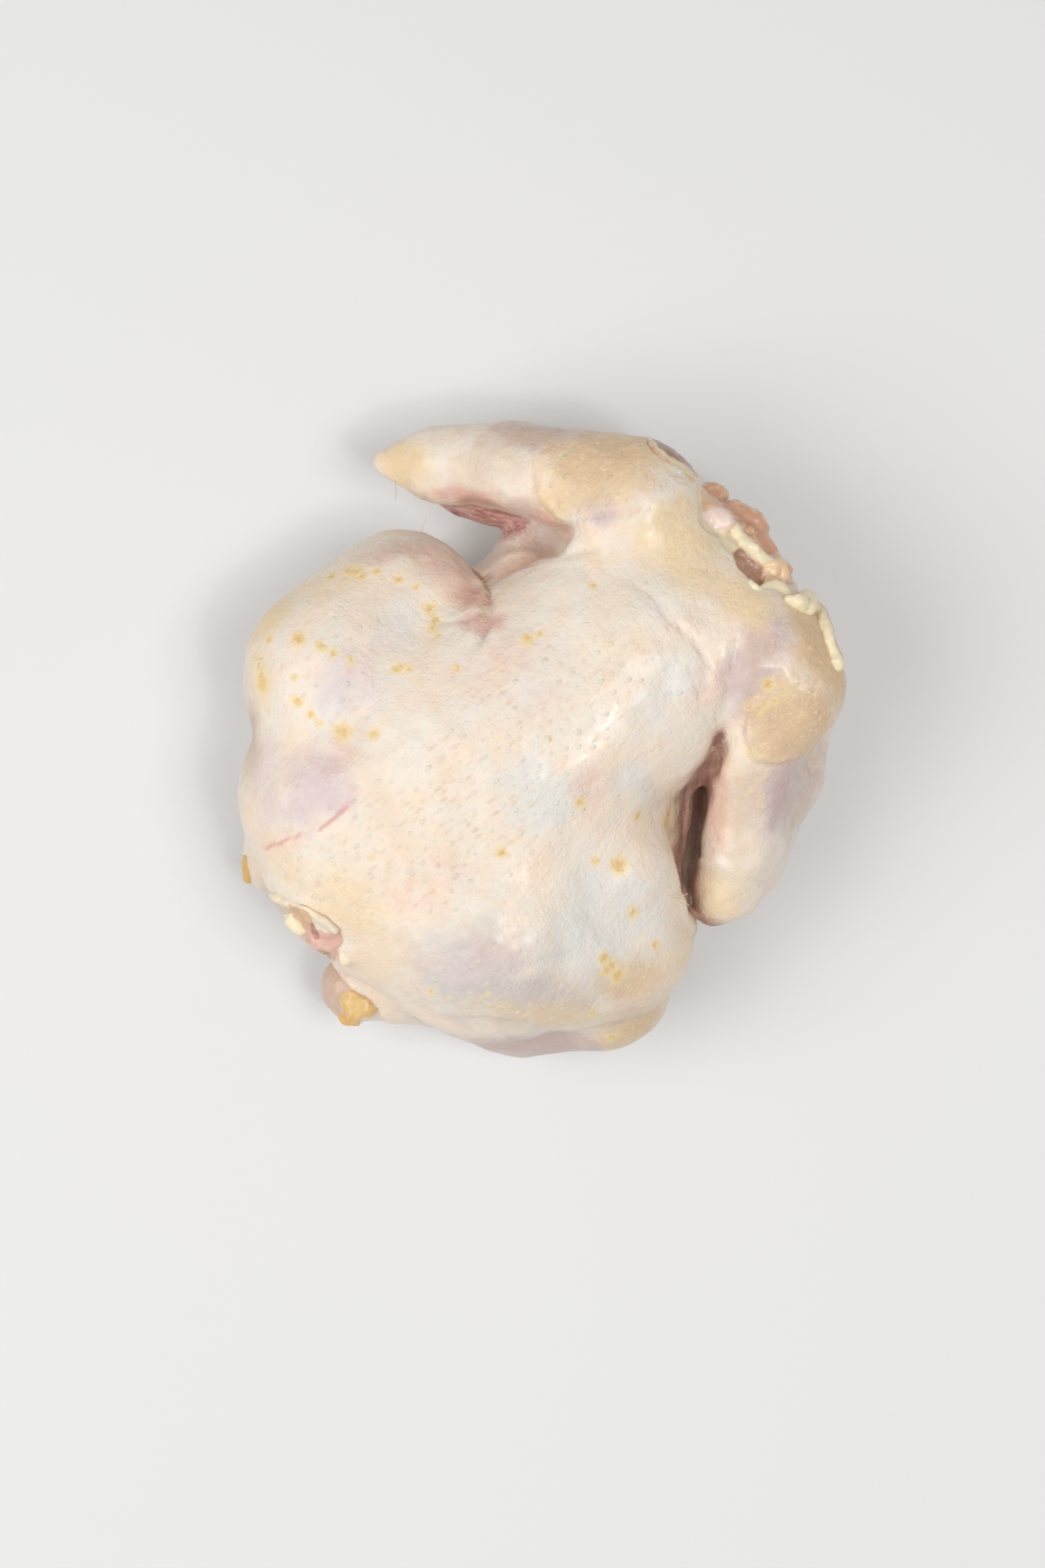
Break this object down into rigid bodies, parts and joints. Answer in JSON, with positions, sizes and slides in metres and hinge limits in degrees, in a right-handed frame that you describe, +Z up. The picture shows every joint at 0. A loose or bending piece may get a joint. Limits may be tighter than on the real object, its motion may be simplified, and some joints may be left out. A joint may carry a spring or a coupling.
{
  "type": "whole raw chicken",
  "caption": "Whole raw chicken, plucked and trimmed, lying on its breast with the back up, wings folded and drumsticks tucked under the tail.",
  "frame": {"origin": "on the surface the bird lies on, under the middle of its outline", "axes": "+X along the back from the tail to the neck, +Y to the bird's left side, +Z up"},
  "size_m": [0.214, 0.207, 0.1],
  "materials": {
    "skin": "moist pale chicken skin, cream to pinkish white with bluish and yellow patches",
    "flesh": "wet raw meat where the neck and the tail end are cut",
    "fat": "soft yellow fat and cartilage at the cuts and the hocks",
    "plumage": "amber quill stubs and fine pale hairs left in the skin"
  },
  "bodies": {
    "root": {"chicken": "skin"}
  },
  "joints": []
}
